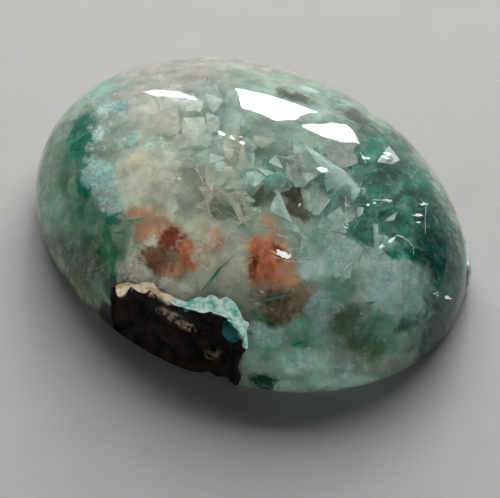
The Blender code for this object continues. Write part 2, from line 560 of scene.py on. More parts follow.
class Pile:
    """Many small shapes in one mesh. Each point has a tint, whose fourth value is how well it covers."""

    def __init__(self):
        self.points = []
        self.faces = []
        self.tints = []

    def add(self, points, faces, tints):
        first = len(self.points)
        self.points += [tuple(point) for point in points]
        self.faces += [[first + index for index in face] for face in faces]
        self.tints += [value for tint in tints for value in tint]

    def sheet(self, corners, tints):
        """A thin sheet through corners, which fades from corner to corner."""
        flat, _ = flattened(corners)
        self.add(flat, [list(range(len(flat)))], tints)

    def plate(self, corners, thickness, tint):
        """A flat plate through corners."""
        flat, normal = flattened(corners)
        count = len(flat)
        points = list(flat + normal * thickness / 2) + list(flat - normal * thickness / 2)
        faces = [list(range(count)), list(range(2 * count - 1, count - 1, -1))]
        faces += [[i, i + count, (i + 1) % count + count, (i + 1) % count] for i in range(count)]
        self.add(points, faces, [tint] * len(points))

    def rod(self, path, radii, tint, sides=5):
        """A rod with pointed ends along a path of points."""
        path = np.array(path)
        points = [path[0]]
        for i in range(1, len(path) - 1):
            _, side, other = frame_of(path[i + 1] - path[i - 1])
            for k in range(sides):
                turn = TAU * k / sides
                points.append(path[i] + (side * math.cos(turn) + other * math.sin(turn)) * radii[i])
        points.append(path[-1])
        last = len(points) - 1
        faces = [[0, 1 + (k + 1) % sides, 1 + k] for k in range(sides)]
        for i in range(len(path) - 3):
            row = 1 + i * sides
            for k in range(sides):
                turn = (k + 1) % sides
                faces.append([row + k, row + turn, row + sides + turn, row + sides + k])
        row = last - sides
        faces += [[row + k, row + (k + 1) % sides, last] for k in range(sides)]
        self.add(points, faces, [tint] * len(points))

    def puff(self, centre, normal, radius, tint, cover):
        """A soft round wisp, which is thickest in its middle and fades out at its rim."""
        axis, side, other = frame_of(normal)
        points = [centre]
        covers = [cover]
        for share, fade in PUFF_RINGS:
            for k in range(PUFF_SIDES):
                turn = TAU * k / PUFF_SIDES
                reach = radius * share * rng.uniform(*PUFF_REACH)
                sunk = axis * radius * rng.uniform(0.0, PUFF_SAG) * share
                points.append(centre + (side * math.cos(turn) + other * math.sin(turn)) * reach - sunk)
                covers.append(cover * fade)
        faces = [[0, 1 + k, 1 + (k + 1) % PUFF_SIDES] for k in range(PUFF_SIDES)]
        for ring in range(len(PUFF_RINGS) - 1):
            row = 1 + ring * PUFF_SIDES
            for k in range(PUFF_SIDES):
                after = (k + 1) % PUFF_SIDES
                faces.append([row + k, row + PUFF_SIDES + k, row + PUFF_SIDES + after, row + after])
        self.add(points, faces, [(*tint[:3], value) for value in covers])

    def build(self, name, material, rounded=True):
        obj = mesh_from(name, self.points, self.faces)
        attribute = obj.data.attributes.new("tint", "FLOAT_COLOR", "POINT")
        attribute.data.foreach_set("color", np.array(self.tints, np.float32))
        if rounded:
            obj.data.shade_smooth()
        obj.data.materials.append(material)
        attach(obj, "root")
        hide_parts(NODE)
        return obj


# Materials

NOISE_ROUGHNESS = 0.55
# The usual low and high values of a noise texture or of a mask
NOISE_SPAN = (0.3, 0.7)
# How deep light wanders in the cloudy body, and how dark and light its billows are
SCATTER_DEPTH = 2.5 * MM
BILLOWS = (0.74, 1.26)
BODY_GROUND = (122, 140, 122)
# Each layer's edge is broken up by noise of this share of its spacing
EDGE_NOISE_SHARE = 0.7
QUARTZ_ROUGHNESS = (0.015, 0.04)
QUARTZ_TINT = (0.50, 0.85, 0.72, 1)
QUARTZ_DENSITY = 60.0
HAZE_SPACING = 1.5 * MM
RIPPLE_SPACING = 3.0 * MM
RIPPLE_HEIGHT = 0.02 * MM
BILLOW_SPACING = 1.4 * MM
# The dark wall of the recess: spacings of its broad and fine colours, and their noise's span
CRUST_BROAD = 0.9 * MM
CRUST_FINE = 0.5 * MM
CRUST_SPAN = (0.4, 0.65)
# The fine grain of the body and of the crust: spacing and height
BODY_GRAIN = (0.5 * MM, 0.04 * MM)
CRUST_GRAIN = (0.25 * MM, 0.12 * MM)


def new_material(name):
    material = bpy.data.materials.new(name)
    material.use_nodes = True
    tree = material.node_tree
    return material, tree, tree.nodes["Principled BSDF"]


def add_noise(tree, spacing, detail=3.0, distortion=0.0):
    """A noise texture whose lumps are about spacing metres wide."""
    coordinates = tree.nodes.new("ShaderNodeTexCoord")
    texture = tree.nodes.new("ShaderNodeTexNoise")
    texture.inputs["Scale"].default_value = 1 / spacing
    texture.inputs["Detail"].default_value = detail
    texture.inputs["Roughness"].default_value = NOISE_ROUGHNESS
    texture.inputs["Distortion"].default_value = distortion
    tree.links.new(coordinates.outputs["Object"], texture.inputs["Vector"])
    return texture.outputs["Fac"]


def add_math(tree, operation, *values):
    node = tree.nodes.new("ShaderNodeMath")
    node.operation = operation
    for socket, value in zip(node.inputs, values):
        if isinstance(value, (int, float)):
            socket.default_value = value
        else:
            tree.links.new(value, socket)
    return node.outputs[0]


def roughen(tree, mask, spacing, amount):
    """A mask whose edge is broken up by noise."""
    fine = add_noise(tree, spacing, detail=3.5, distortion=0.6)
    return add_math(tree, "ADD", mask, add_math(tree, "MULTIPLY_ADD", fine, amount, -amount / 2))


def add_range(tree, value, low, high, to_low=0.0, to_high=1.0):
    node = tree.nodes.new("ShaderNodeMapRange")
    node.interpolation_type = "SMOOTHSTEP"
    tree.links.new(value, node.inputs["Value"])
    node.inputs["From Min"].default_value = low
    node.inputs["From Max"].default_value = high
    node.inputs["To Min"].default_value = to_low
    node.inputs["To Max"].default_value = to_high
    return node.outputs["Result"]


def add_mix(tree, share, first, second):
    node = tree.nodes.new("ShaderNodeMix")
    node.data_type = "RGBA"
    sockets = (node.inputs["Factor"], node.inputs[6], node.inputs[7])
    for socket, value in zip(sockets, (share, first, second)):
        if isinstance(value, (int, float, tuple)):
            socket.default_value = value
        else:
            tree.links.new(value, socket)
    return node.outputs[2]


def add_bump(tree, height, distance):
    node = tree.nodes.new("ShaderNodeBump")
    node.inputs["Distance"].default_value = distance
    tree.links.new(height, node.inputs["Height"])
    return node.outputs["Normal"]


def add_attribute(tree, name):
    node = tree.nodes.new("ShaderNodeAttribute")
    node.attribute_name = name
    return node.outputs["Fac"]


def add_tint(tree):
    """The tint of a shape and how well it covers."""
    node = tree.nodes.new("ShaderNodeAttribute")
    node.attribute_name = "tint"
    return node.outputs["Color"], node.outputs["Alpha"]


def add_shade(tree, colour, value):
    """A colour made darker or lighter by a factor."""
    node = tree.nodes.new("ShaderNodeVectorMath")
    node.operation = "SCALE"
    tree.links.new(colour, node.inputs[0])
    tree.links.new(value, node.inputs["Scale"])
    return node.outputs["Vector"]


def store(obj, name, values):
    attribute = obj.data.attributes.new(name, "FLOAT", "POINT")
    attribute.data.foreach_set("value", np.asarray(values, np.float32))


def quartz_material():
    material, tree, shader = new_material("polished quartz")
    shader.inputs["Base Color"].default_value = (0.98, 1.0, 0.99, 1)
    shader.inputs["Transmission Weight"].default_value = 1.0
    shader.inputs["IOR"].default_value = QUARTZ_IOR
    haze = add_noise(tree, HAZE_SPACING)
    tree.links.new(add_range(tree, haze, 0.3, 0.75, *QUARTZ_ROUGHNESS), shader.inputs["Roughness"])
    ripple = add_noise(tree, RIPPLE_SPACING, detail=2.0)
    tree.links.new(add_bump(tree, ripple, RIPPLE_HEIGHT), shader.inputs["Normal"])
    absorption = tree.nodes.new("ShaderNodeVolumeAbsorption")
    absorption.inputs["Color"].default_value = QUARTZ_TINT
    absorption.inputs["Density"].default_value = QUARTZ_DENSITY
    output = tree.nodes["Material Output"]
    tree.links.new(absorption.outputs[0], output.inputs["Volume"])
    return material


# Colours of the cloudy body. Each layer paints over those before it: name, two screen colours,
# noise spacing in mm, edge softness, its share of the unseen sides, and its patches,
# each a pixel centre, half sizes in pixels and a turn in degrees
LAYERS = (
    ("sage", (78, 122, 98), (102, 140, 114), 1.6, 0.30, 0.62, (
        ((66, 212), (46, 96), -20), ((92, 286), (24, 26), 30),
    )),
    # Dark green on the lower left lobe: painted shade where the lobe turns away from the light
    ("lobe_painted_shade", (12, 46, 26), (32, 60, 36), 1.4, 0.30, 0.20, (
        ((70, 264), (26, 32), -35), ((96, 262), (10, 24), -10),
    )),
    ("moss", (70, 82, 44), (56, 70, 40), 1.2, 0.25, 0.22, (
        ((80, 284), (10, 34), -32), ((95, 298), (12, 7), 30), ((56, 258), (6, 34), -24),
    )),
    ("far_rim", (160, 144, 140), (136, 130, 122), 1.8, 0.35, 0.10, (
        ((176, 62), (60, 16), -8), ((250, 52), (60, 14), 6), ((196, 82), (40, 12), 0),
        ((128, 102), (28, 12), -34),
    )),
    # Dark green on the far rim: partly the stone's own green, partly painted shade against the strong back
    # light there
    ("far_rim_painted_shade", (46, 84, 68), (34, 66, 56), 1.4, 0.30, 0.20, (
        ((330, 104), (34, 12), 26), ((316, 122), (20, 8), 20), ((364, 128), (24, 12), 42),
        ((400, 140), (22, 10), 50),
    )),
    ("quartz_grey", (228, 216, 196), (204, 194, 174), 1.6, 0.35, 0.30, (
        ((172, 116), (38, 32), 0), ((150, 175), (34, 44), 10),
    )),
    ("quartz_green", (160, 182, 164), (134, 162, 148), 1.4, 0.35, 0.40, (
        ((226, 118), (40, 34), 0), ((285, 105), (60, 22), 12), ((265, 165), (60, 44), 10),
        ((330, 180), (44, 44), 20),
    )),
    ("haze", (182, 180, 156), (204, 198, 174), 1.8, 0.35, 0.22, (
        ((196, 222), (30, 28), 0), ((218, 262), (34, 34), 20),
    )),
    ("milk", (226, 216, 192), (206, 198, 174), 1.4, 0.35, 0.20, (
        ((158, 186), (36, 30), 10), ((186, 140), (12, 10), 20), ((208, 182), (12, 20), 0),
        ((206, 250), (16, 12), 0),
    )),
    ("smoky_cell", (176, 178, 162), (154, 158, 142), 1.0, 0.22, 0.14, (
        ((190, 180), (13, 16), 10), ((190, 205), (16, 12), 0),
    )),
    ("tan", (212, 190, 156), (190, 172, 140), 0.8, 0.25, 0.10, (
        ((143, 159), (13, 9), -20), ((150, 207), (14, 8), 0), ((214, 238), (12, 18), 10),
        ((232, 150), (10, 20), 10),
    )),
    ("cream", (255, 246, 216), (252, 230, 190), 0.9, 0.28, 0.12, (
        ((146, 278), (26, 11), 22), ((174, 288), (16, 12), 30), ((134, 258), (9, 16), 0),
        ((150, 242), (9, 14), 20), ((188, 304), (14, 7), 30),
    )),
    ("deep_teal", (10, 84, 68), (28, 110, 90), 1.0, 0.22, 0.42, (
        ((80, 136), (12, 26), 18), ((86, 180), (7, 34), 4), ((112, 216), (9, 10), 0),
        ((372, 168), (30, 34), 40), ((392, 206), (40, 36), 20), ((358, 232), (16, 16), 0),
        ((400, 262), (22, 20), 30), ((410, 180), (16, 34), -40), ((450, 300), (20, 40), 10),
    )),
    ("green_streak", (40, 96, 68), (56, 110, 80), 0.8, 0.24, 0.20, (
        ((109, 250), (8, 22), -8), ((113, 284), (10, 18), -12),
    )),
    ("night_green", (0, 44, 36), (6, 72, 62), 1.2, 0.25, 0.30, (
        ((436, 236), (22, 60), -24), ((430, 324), (34, 32), -40), ((420, 258), (12, 14), 0),
        ((384, 178), (10, 8), 0),
    )),
    ("pale_cloud", (166, 232, 214), (216, 252, 240), 1.5, 0.35, 0.40, (
        ((394, 292), (32, 28), 30), ((330, 262), (36, 20), -10), ((320, 304), (26, 12), 0),
    )),
    ("mid_green", (84, 138, 116), (116, 164, 142), 1.0, 0.30, 0.35, (
        ((100, 88), (22, 7), -34), ((338, 290), (18, 12), 20), ((296, 332), (44, 22), 0),
        ((375, 330), (22, 14), -30), ((262, 348), (34, 16), 12), ((398, 344), (26, 8), -28),
    )),
    ("olive_dark", (62, 88, 72), (96, 106, 86), 1.0, 0.28, 0.18, (
        ((343, 324), (20, 14), 30), ((354, 344), (13, 10), 0), ((352, 312), (12, 10), 0),
    )),
    ("leaf_green", (46, 98, 50), (72, 112, 68), 0.8, 0.28, 0.12, (
        ((376, 350), (14, 10), -40),
    )),
    ("pocket", (84, 98, 80), (112, 116, 96), 0.6, 0.22, 0.10, (
        ((262, 195), (15, 15), 0),
    )),
    ("brown_pocket", (62, 56, 42), (96, 90, 72), 0.6, 0.22, 0.06, (
        ((292, 198), (14, 24), -25), ((300, 212), (9, 8), 0),
    )),
    ("far_brown", (74, 76, 62), (58, 66, 54), 0.9, 0.28, 0.06, (
        ((296, 97), (20, 5), 20), ((352, 117), (12, 8), 40),
    )),
    ("smoke_brown", (120, 108, 84), (144, 128, 102), 0.9, 0.28, 0.10, (
        ((300, 298), (12, 18), 0), ((180, 264), (14, 12), 0),
    )),
    ("dusk_brown", (76, 64, 48), (118, 100, 78), 0.5, 0.24, 0.05, (
        ((278, 306), (24, 18), 0),
    )),
    # Pale green along the bottom rim: painted light, for light that passes through the stone and gathers at
    # its foot
    ("bottom_painted_light", (138, 204, 172), (176, 222, 194), 1.2, 0.30, 0.28, (
        ((335, 382), (80, 9), -3), ((308, 362), (34, 12), 8),
    )),
    ("orange", (206, 144, 112), (184, 126, 96), 0.7, 0.28, 0.06, (
        ((141, 212), (13, 6), 0), ((142, 230), (10, 11), 0), ((162, 226), (20, 10), 20),
        ((188, 250), (10, 16), -10), ((168, 268), (16, 8), 20), ((268, 221), (8, 7), 0),
        ((270, 262), (20, 28), 0), ((288, 278), (12, 12), 0), ((213, 240), (8, 12), 0),
    )),
    ("brick", (226, 126, 88), (170, 88, 64), 0.5, 0.22, 0.04, (
        ((266, 260), (16, 22), 0), ((257, 248), (8, 11), 0), ((187, 254), (10, 17), -10),
    )),
    ("dark_red", (146, 66, 52), (100, 46, 36), 0.5, 0.20, 0.03, (
        ((170, 240), (12, 13), 0), ((254, 266), (5, 11), 10), ((278, 252), (4, 9), -10),
    )),
    ("red_brown", (136, 92, 70), (98, 70, 54), 0.5, 0.20, 0.02, (
        ((156, 260), (15, 12), 30),
    )),
    ("foot_green", (6, 40, 28), (20, 58, 42), 0.6, 0.22, 0.02, (
        ((262, 380), (17, 8), 12), ((111, 286), (7, 13), -12),
    )),
    # Near black under the tip of the left lobe: partly dark matrix, partly painted shade where the lobe
    # meets the floor
    ("matrix_and_painted_shade", (16, 11, 9), (5, 4, 3), 0.5, 0.18, 0.01, (
        ((106, 313), (7, 12), -10), ((112, 322), (8, 12), 0),
    )),
    ("aqua", (150, 222, 206), (250, 255, 253), 0.8, 0.22, 0.22, (
        ((100, 178), (15, 16), 0), ((112, 206), (9, 7), 0), ((98, 134), (6, 8), 15),
        ((108, 106), (12, 6), -10), ((340, 247), (20, 10), 10), ((388, 268), (13, 11), 0),
        ((260, 333), (22, 7), 8),
    )),
)
EDGE_VALUE = 0.35
# Patches smaller than this many pixels keep more of their own outline
WOBBLE_FROM = 18.0
WOBBLE_SPACING = 1.1 * MM
WOBBLE_OFFSETS = (21.0, 41.0)
WOBBLE_PIXELS = 9.0
# On the sides the photograph doesn't show, each layer has its own noise
HIDDEN_SPACING = 5.0 * MM
HIDDEN_OFFSET = 60.0
HIDDEN_OFFSET_STEP = 9.0


def patch_mask(pixels, patches, wobble):
    value = np.zeros(len(pixels))
    for centre, sizes, turn in patches:
        calm = min(1.0, math.sqrt(sizes[0] * sizes[1]) / WOBBLE_FROM)
        distance = ellipse(pixels + wobble * calm, centre, sizes, turn)
        value = np.maximum(value, 1 - (1 - EDGE_VALUE) * distance)
    return value


def paint_body(body, sight):
    points = np.array([tuple(vert.co) for vert in body.data.vertices])
    pixels, sure = sight.apparent(points)
    shifts = [sample_noise(points, WOBBLE_SPACING, offset) for offset in WOBBLE_OFFSETS]
    wobble = np.stack(shifts, axis=1) * WOBBLE_PIXELS
    for index, (name, _, _, _, _, hidden_share, patches) in enumerate(LAYERS):
        seen = patch_mask(pixels, patches, wobble)
        offset = HIDDEN_OFFSET + HIDDEN_OFFSET_STEP * index
        hidden = sample_noise(points, HIDDEN_SPACING, offset) + hidden_share - EDGE_VALUE
        store(body, name, sure * seen + (1 - sure) * hidden)


def body_material():
    material, tree, shader = new_material("cloudy silica")
    colour = under_glass(*BODY_GROUND)
    for name, first, second, spacing, softness, _, _ in LAYERS:
        value = roughen(tree, add_attribute(tree, name), spacing * EDGE_NOISE_SHARE * MM, 1.0)
        share = add_range(tree, value, EDGE_VALUE - softness, EDGE_VALUE + softness)
        cloud = add_range(tree, add_noise(tree, spacing * MM, detail=4.0), *NOISE_SPAN)
        tone = add_mix(tree, cloud, under_glass(*first), under_glass(*second))
        colour = add_mix(tree, share, colour, tone)
    waves = add_noise(tree, BILLOW_SPACING, detail=4.5, distortion=0.4)
    billow = add_range(tree, waves, *NOISE_SPAN, *BILLOWS)
    tree.links.new(add_shade(tree, colour, billow), shader.inputs["Base Color"])
    shader.inputs["Roughness"].default_value = 0.75
    shader.inputs["Specular IOR Level"].default_value = 0.0
    shader.inputs["Subsurface Weight"].default_value = 1.0
    shader.inputs["Subsurface Radius"].default_value = (1.0, 1.0, 1.0)
    shader.inputs["Subsurface Scale"].default_value = SCATTER_DEPTH
    grain = add_noise(tree, BODY_GRAIN[0], detail=5.0)
    tree.links.new(add_bump(tree, grain, BODY_GRAIN[1]), shader.inputs["Normal"])
    return material


def crust_material():
    material, tree, shader = new_material("recess crust")
    broad = add_range(tree, add_noise(tree, CRUST_BROAD), *CRUST_SPAN)
    fine = add_range(tree, add_noise(tree, CRUST_FINE), *CRUST_SPAN)
    # The wall's near-black colours are dark matrix made darker still: painted shade for the recess, which
    # the front light would otherwise lift
    dark = add_mix(tree, broad, srgb(4, 3, 3), srgb(24, 18, 14))
    streak = add_math(tree, "MULTIPLY", add_attribute(tree, "streak"), fine)
    dark = add_mix(tree, streak, dark, srgb(140, 128, 106))
    cream = add_mix(tree, fine, srgb(236, 226, 200), srgb(196, 164, 128))
    teal = add_mix(tree, fine, srgb(226, 250, 242), srgb(104, 196, 178))
    rim = add_mix(tree, add_range(tree, add_attribute(tree, "right"), *NOISE_SPAN), cream, teal)
    edge = roughen(tree, add_attribute(tree, "rim"), CRUST_FINE, 0.8)
    colour = add_mix(tree, add_range(tree, edge, 0.35, 0.65), dark, rim)
    # The bead's dark teal: its own colour, laid only on its unlit side as painted shade
    bead = add_range(tree, add_attribute(tree, "bead"), *NOISE_SPAN)
    tree.links.new(add_mix(tree, bead, colour, srgb(26, 78, 76)), shader.inputs["Base Color"])
    tree.links.new(add_range(tree, bead, 0.0, 1.0, 0.6, 0.25), shader.inputs["Roughness"])
    shader.inputs["Specular IOR Level"].default_value = 0.35
    grain = add_noise(tree, CRUST_GRAIN[0], detail=6.0)
    tree.links.new(add_bump(tree, grain, CRUST_GRAIN[1]), shader.inputs["Normal"])
    return material


def floor_material():
    material, tree, shader = new_material("pale floor")
    tone = add_mix(tree, add_noise(tree, 4 * MM), srgb(158, 157, 155), srgb(166, 165, 163))
    tree.links.new(tone, shader.inputs["Base Color"])
    shader.inputs["Roughness"].default_value = 0.8
    return material


# Building

SHARP_ANGLE = math.radians(40)
BEAD_SUBDIVISIONS = 4
BEAD_WOBBLE = 0.05 * MM
BEAD_WOBBLE_SPACING = 0.4 * MM
# Where the crust's colours start and end. The rim: depth below the skin, pixels across at its
# left end, pixels below its lowest line, which is given as pixels across and down the picture
RIM_DEPTHS = (0.14 * MM, 0.58 * MM)
RIM_LEFT = (113, 119)
RIM_FADES = (8, -2)
RIM_LOWEST = ((110, 150, 180, 215, 245, 250), (292, 304, 320, 330, 345, 350))
TEAL_FROM = (2.2 * MM, 3.6 * MM)
# The large bead: its lit side, and the reach of its pale crescent (painted light) and of its dark teal
# (painted shade), in radii
BEAD_LIT = (0.25, 0.55)
PAINTED_CRESCENT_REACH = (1.7, 1.4)
BEAD_SHADED_REACH = (1.25, 1.05)
# Pale streaks on the dark wall: pixel centre, half sizes, turn, strength
STREAKS = (((176, 319), (26, 6), 30, 1.0), ((212, 353), (10, 7), 0, 0.35))
STREAK_REACH = (0.6, 1.1)


def make_bead(centre, radius):
    bm = bmesh.new()
    bmesh.ops.create_icosphere(bm, subdivisions=BEAD_SUBDIVISIONS, radius=radius)
    for vert in bm.verts:
        wobble = BEAD_WOBBLE * noise.noise(vert.co / BEAD_WOBBLE_SPACING)
        vert.co += vert.co.normalized() * wobble + centre
    return make_object("bead", bm)


def dress(obj, material, sharp=True):
    """Smooth shading, with its sharp edges kept where it has any, and a material."""
    obj.data.shade_smooth()
    if sharp:
        obj.data.set_sharp_from_angle(angle=SHARP_ANGLE)
    obj.data.materials.clear()
    obj.data.materials.append(material)


dome = make_dome("dome_probe")
dome_tree = BVHTree.FromObject(dome, bpy.context.evaluated_depsgraph_get())

quartz = combine("polished_quartz", make_dome("quartz_base"), [
    ("DIFFERENCE", make_cutter("quartz_cutter", crust_thickness)),
])
dress(quartz, quartz_material())

crust_steps = [
    ("INTERSECT", make_cutter("crust_outer", lambda point: crust_thickness(point) + CRUST_OVERLAP)),
    ("DIFFERENCE", make_cutter("crust_inner", lambda point: 0.0)),
]
crust_steps += [("UNION", make_bead(centre, radius)) for centre, radius in BEADS]
crust = combine("recess_crust", make_dome("crust_base", proud=CRUST_PROUD), crust_steps)
dress(crust, crust_material())
crust_points = np.array([tuple(vert.co) for vert in crust.data.vertices])
below = np.array([dome_tree.find_nearest(Vector(point))[3] or 0.0 for point in crust_points])
crust_pixels = seen_pixels(crust_points)
bead_centre, bead_radius = BEADS[0]
from_bead = crust_points - np.array(bead_centre)
bead_reach = np.linalg.norm(from_bead, axis=1) / bead_radius
# The bead is painted as if lit from the picture's upper right: a pale crust shell there as painted light,
# dark teal elsewhere as painted shade
lit = smooth(*BEAD_LIT, from_bead @ (RIGHT + UP) / (math.sqrt(2) * bead_radius))
painted_lit_crescent = smooth(*PAINTED_CRESCENT_REACH, bead_reach) * lit
band = 1 - smooth(*RIM_DEPTHS, below)
band *= smooth(*RIM_LEFT, crust_pixels[:, 0])
band *= smooth(*RIM_FADES, crust_pixels[:, 1] - np.interp(crust_pixels[:, 0], *RIM_LOWEST))
store(crust, "rim", np.maximum(band, painted_lit_crescent))
store(crust, "right", smooth(*TEAL_FROM, crust_points[:, 0]))
store(crust, "bead", smooth(*BEAD_SHADED_REACH, bead_reach) * (1 - lit))
streak = np.zeros(len(crust_points))
for centre, sizes, turn, strength in STREAKS:
    distance = ellipse(crust_pixels, centre, sizes, turn)
    streak = np.maximum(streak, strength * (1 - smooth(*STREAK_REACH, distance)))
store(crust, "streak", streak)

body = combine("cloudy_body", make_body(dome_tree), [
    ("DIFFERENCE", make_cutter("body_cutter", lambda point: crust_thickness(point) - CORE_OVERLAP)),
])
dress(body, body_material(), sharp=False)
inner_tree = BVHTree.FromObject(body, bpy.context.evaluated_depsgraph_get())
sight = Sight(dome_tree, inner_tree)
paint_body(body, sight)
bpy.data.objects.remove(dome)

for piece, slot in ((quartz, SLOT), (crust, "matrix_crust"), (body, "cloudy_silica")):
    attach(piece, "root")
    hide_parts(NODE)

# Inner features, by where the camera sees them. Depths and sizes are in mm unless they say pixels
MM_PER_PIXEL = 1 / 13.6
CLEAR_SHARE = 0.92


def inside(pixel, depth):
    """A point seen at a pixel, at a depth in mm but clear of the cloudy body, and the way to the skin."""
    room = sight.depth_room(pixel)
    return sight.place(pixel, min(depth * MM, room * CLEAR_SHARE))


def set_off(centre, u, v, turn):
    """The pixel at u and v from a centre, along axes turned by so many degrees."""
    cosine, sine = math.cos(math.radians(turn)), math.sin(math.radians(turn))
    return centre[0] + u * cosine - v * sine, centre[1] + u * sine + v * cosine


def blend(first, second, share):
    """A tint between two screen colours, as it must be under the quartz."""
    a, b = under_glass(*first), under_glass(*second)
    return tuple(x + (y - x) * share for x, y in zip(a, b))


def tinted_material(name, roughness, spacing, shade, smoky=0.8):
    """The tint of each shape, clouded towards a shade by noise."""
    material, tree, shader = new_material(name)
    smoke = add_noise(tree, spacing, detail=4.0)
    tint, _ = add_tint(tree)
    share = add_range(tree, smoke, 0.45, 0.8, 0.0, smoky)
    tree.links.new(add_mix(tree, share, tint, under_glass(*shade)), shader.inputs["Base Color"])
    dull = add_range(tree, smoke, *NOISE_SPAN, roughness * 0.7, roughness * 1.3)
    tree.links.new(dull, shader.inputs["Roughness"])
    tree.links.new(add_bump(tree, smoke, spacing * 0.2), shader.inputs["Normal"])
    return material


def veil_material(name, spacing, thinnest, roughness, mottle):
    """Sheets and wisps under the skin, which fade out and let the body show through.

    Noise of the given spacing thins them, and mottle is how dark and how light clouds make them.
    """
    material, tree, shader = new_material(name)
    tint, cover = add_tint(tree)
    cloud = add_noise(tree, 0.9 * MM, detail=5.0, distortion=0.8)
    shade = add_range(tree, cloud, *NOISE_SPAN, *mottle)
    tree.links.new(add_shade(tree, tint, shade), shader.inputs["Base Color"])
    thin = add_range(tree, add_noise(tree, spacing, detail=4.0), 0.35, 0.6, thinnest, 1.0)
    tree.links.new(add_math(tree, "MULTIPLY", cover, thin), shader.inputs["Alpha"])
    shader.inputs["Roughness"].default_value = roughness
    return material


# Cotton-like cloud tufts: pixel, radius in pixels, how many wisps
TUFTS = (
    ((88, 92), 8, 8), ((98, 98), 9, 10), ((112, 102), 9, 10), ((122, 108), 8, 10), ((100, 112), 8, 8),
    ((94, 124), 6, 6), ((98, 134), 7, 6), ((92, 148), 6, 7), ((106, 144), 5, 4), ((110, 124), 6, 6),
    ((132, 134), 7, 9), ((124, 142), 6, 7), ((90, 158), 6, 9), ((92, 168), 6, 8), ((86, 176), 5, 6),
    ((100, 174), 10, 16), ((108, 182), 8, 10),
    ((110, 190), 8, 9), ((96, 190), 6, 6), ((106, 204), 7, 10), ((116, 210), 7, 9), ((100, 202), 5, 5),
    ((340, 247), 13, 30), ((386, 242), 8, 14), ((388, 270), 12, 14), ((402, 288), 14, 14),
    ((258, 330), 10, 14),
    ((274, 334), 8, 10), ((246, 332), 6, 9), ((196, 300), 6, 8), ((220, 308), 6, 9), ((232, 314), 5, 7),
    ((150, 142), 5, 6), ((162, 142), 5, 8), ((318, 304), 16, 12), ((302, 358), 14, 8), ((340, 366), 14, 10),
)
CREAM_TUFTS = (
    ((130, 272), 7, 14), ((122, 278), 5, 8), ((142, 278), 8, 10), ((156, 288), 8, 10), ((168, 298), 7, 8),
    ((206, 246), 9, 7), ((200, 266), 10, 5),
)
TUFT_DARK = (138, 230, 208)
TUFT_PALE = (240, 255, 252)
CREAM_DARK = (248, 212, 160)
CREAM_PALE = (255, 250, 228)
# Sizes as shares of the tuft's radius, depths in mm, and covers
WISP_SIZES = (0.45, 1.2)
WISP_DEPTHS = (0.30, 0.65)
WISP_COVERS = (0.30, 0.70)
# Wisps lean up to the light, as far as their depth under the skin lets them
TUFT_LIFT = 0.85
TUFT_GAP = 0.08 * MM
tufts = Pile()
for places, first, second in ((TUFTS, TUFT_DARK, TUFT_PALE), (CREAM_TUFTS, CREAM_DARK, CREAM_PALE)):
    for (x, y), radius, count in places:
        for _ in range(count):
            turn = rng.uniform(0, TAU)
            reach = radius * math.sqrt(rng.random())
            pixel = (x + reach * math.cos(turn), y + reach * math.sin(turn))
            size = radius * rng.uniform(*WISP_SIZES) * MM_PER_PIXEL * MM
            point, normal = inside(pixel, rng.uniform(*WISP_DEPTHS))
            skin = dome_tree.find_nearest(Vector(point))[3]
            lift = min(1.0, TUFT_LIFT * max(0.0, skin - TUFT_GAP) / size)
            tint = blend(first, second, rng.random())
            tufts.puff(point, normal + np.array((0, 0, lift)), size, tint, rng.uniform(*WISP_COVERS))
cloud_look = veil_material("cloud tufts", 0.5 * MM, 0.72, 0.8, (0.95, 1.06))
clouds = tufts.build("cloud_tufts", cloud_look)
clouds.visible_shadow = False

# Tints of crystal faces
PALE_TEAL = (186, 238, 216)
MIST = (232, 250, 238)
GREY_GREEN = (96, 124, 106)
BEIGE = (216, 204, 172)
EMERALD = (6, 84, 64)
DEEP_SEA = (24, 90, 76)
# A brown sheet painted as shadow beside the beige crystal cells
PAINTED_SHADOW_BROWN = (72, 60, 42)
SEA = (76, 144, 122)
WHITE = (236, 242, 236)
SMOKE = (84, 92, 76)

